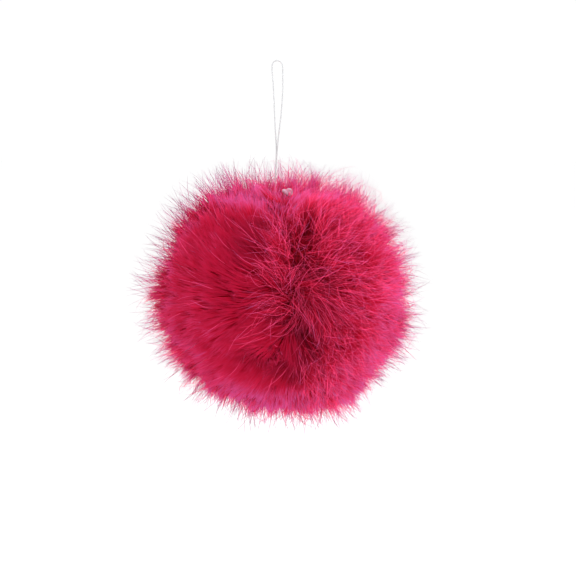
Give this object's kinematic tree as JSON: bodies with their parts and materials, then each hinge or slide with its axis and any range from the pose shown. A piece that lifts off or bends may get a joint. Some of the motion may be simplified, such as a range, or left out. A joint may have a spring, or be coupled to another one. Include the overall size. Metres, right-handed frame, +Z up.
{
  "type": "fur pom pom on a hanging thread",
  "caption": "Round ball of dyed fur with a soft furrow down its front, closed at the top by a small knot and hung on a fine thread loop.",
  "frame": {"origin": "underside of the top of the hanging loop, where a hook or pin bears", "axes": "+Z up along the hanging thread, +X to the right and -Y to the front, the side with the furrow"},
  "size_m": [0.0816, 0.0805, 0.1109],
  "materials": {
    "dyed_fur": "soft dyed fur, silky hair tips",
    "white_thread": "fine twisted thread, slight sheen"
  },
  "bodies": {
    "root": {"fur_ball": "dyed_fur", "hanging_thread": "white_thread", "closing_knot": "white_thread"}
  },
  "joints": []
}
